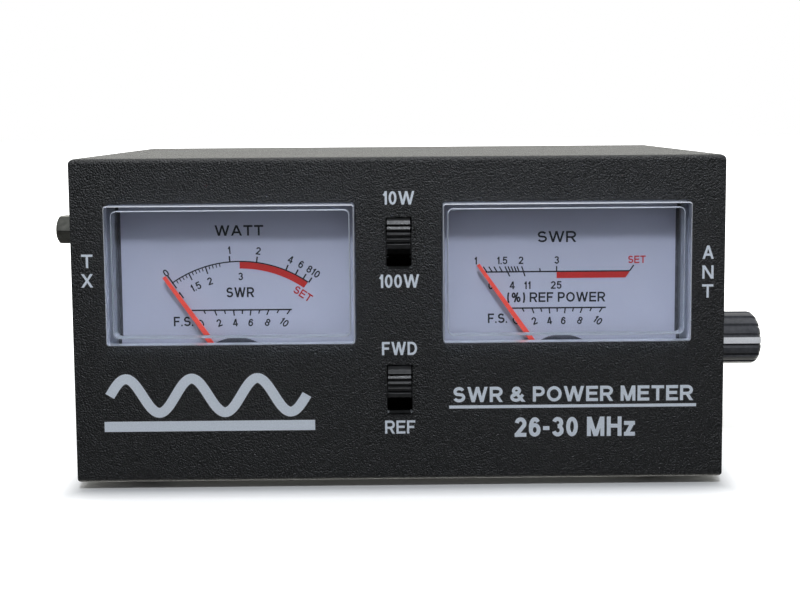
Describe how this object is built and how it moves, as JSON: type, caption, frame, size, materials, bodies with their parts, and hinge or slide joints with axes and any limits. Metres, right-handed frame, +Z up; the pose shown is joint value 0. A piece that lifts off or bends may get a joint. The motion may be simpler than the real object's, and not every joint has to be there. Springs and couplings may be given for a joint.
{
  "type": "swr meter",
  "caption": "Table-top SWR and power meter: folded steel case, twin needle dials behind clear windows, slide switches, a side calibration knob and rear coaxial sockets.",
  "frame": {"origin": "middle of the four feet, on the surface they stand on", "axes": "+X to the right of the front panel, -Y out of the front panel, +Z up"},
  "size_m": [0.1707, 0.0818, 0.0775],
  "materials": {
    "black_powder_coat": "fine-textured black powder coat",
    "black_screw": "black-plated steel",
    "foot_rubber": "matte",
    "clear_acrylic": "clear moulded polystyrene",
    "black_moulding": "matte moulded",
    "dial_white": "white lacquer with printed scales",
    "magnet": "sintered, plain",
    "soft_iron": "turned",
    "brass": "turned, slightly dull",
    "copper_winding": "enamelled copper wire",
    "needle_red": "red lacquer",
    "plated_steel": "bright zinc plate",
    "black_slider": "satin moulded",
    "phenolic": "brown laminate",
    "board_green": "glass-epoxy board with solder mask",
    "strip_copper": "tinned copper strip",
    "component_body": "lacquered component bodies",
    "nickel_plate": "bright nickel plate",
    "socket_dielectric": "cream moulded",
    "knob_black": "black moulded with a white index line",
    "dark_plated": "dark nickel plate",
    "wire_red": "PVC insulation"
  },
  "bodies": {
    "case": {"chassis": "black_powder_coat", "top_cover": "black_powder_coat", "cover_screws": "black_screw", "rubber_feet": "foot_rubber", "left_meter_case": "clear_acrylic", "left_meter_housing": "black_moulding", "left_dial_plate": "dial_white", "left_magnet_ring": "magnet", "left_iron_core": "soft_iron", "left_pivot_bearings": "brass", "left_movement_shield": "black_moulding", "right_meter_case": "clear_acrylic", "right_meter_housing": "black_moulding", "right_dial_plate": "dial_white", "right_magnet_ring": "magnet", "right_iron_core": "soft_iron", "right_pivot_bearings": "brass", "right_movement_shield": "black_moulding", "meter_terminals": "brass", "switch_bracket": "plated_steel", "switch_screws": "plated_steel", "upper_switch_frame": "plated_steel", "upper_switch_base": "phenolic", "lower_switch_frame": "plated_steel", "lower_switch_base": "phenolic", "switch_contacts": "plated_steel", "circuit_board": "board_green", "board_standoffs": "brass", "board_screws": "plated_steel", "coupler_strip": "strip_copper", "pickup_strips": "strip_copper", "detector_diodes": "component_body", "resistors": "component_body", "disc_capacitors": "component_body", "tx_socket_body": "nickel_plate", "ant_socket_body": "nickel_plate", "socket_insulators": "socket_dielectric", "socket_contacts": "brass", "socket_screws": "plated_steel", "socket_nuts": "plated_steel", "control_body": "plated_steel", "control_nut": "plated_steel", "control_terminals": "brass", "aerial_terminal": "dark_plated", "aerial_insulators": "phenolic", "aerial_nut": "plated_steel", "hookup_wires": "wire_red"},
    "left_movement": {"left_moving_coil": "copper_winding", "left_hairspring": "brass", "left_needle": "needle_red"},
    "right_movement": {"right_moving_coil": "copper_winding", "right_hairspring": "brass", "right_needle": "needle_red"},
    "upper_slide": {"upper_switch_slider": "black_slider", "upper_switch_wipers": "strip_copper"},
    "lower_slide": {"lower_switch_slider": "black_slider", "lower_switch_wipers": "strip_copper"},
    "calibration": {"control_shaft": "plated_steel", "cal_knob": "knob_black"}
  },
  "joints": [
    {"name": "left_needle_swing", "type": "hinge", "parent": "case", "child": "left_movement", "pos_m": [-0.0378, -0.0262, 0.0245], "axis": [0, 1, 0], "range_deg": [0, 72], "stiffness_Nm_per_rad": 0.0002},
    {"name": "right_needle_swing", "type": "hinge", "parent": "case", "child": "right_movement", "pos_m": [0.0378, -0.0262, 0.0245], "axis": [0, 1, 0], "range_deg": [0, 72], "stiffness_Nm_per_rad": 0.0002},
    {"name": "power_range_slide", "type": "slide", "parent": "case", "child": "upper_slide", "axis": [0, 0, -1], "range_m": [0, 0.0048]},
    {"name": "forward_reflected_slide", "type": "slide", "parent": "case", "child": "lower_slide", "axis": [0, 0, -1], "range_m": [0, 0.0048]},
    {"name": "calibration_turn", "type": "hinge", "parent": "case", "child": "calibration", "pos_m": [0.0763, -0.0125, 0.03], "axis": [1, 0, 0], "range_deg": [-150, 150]}
  ]
}
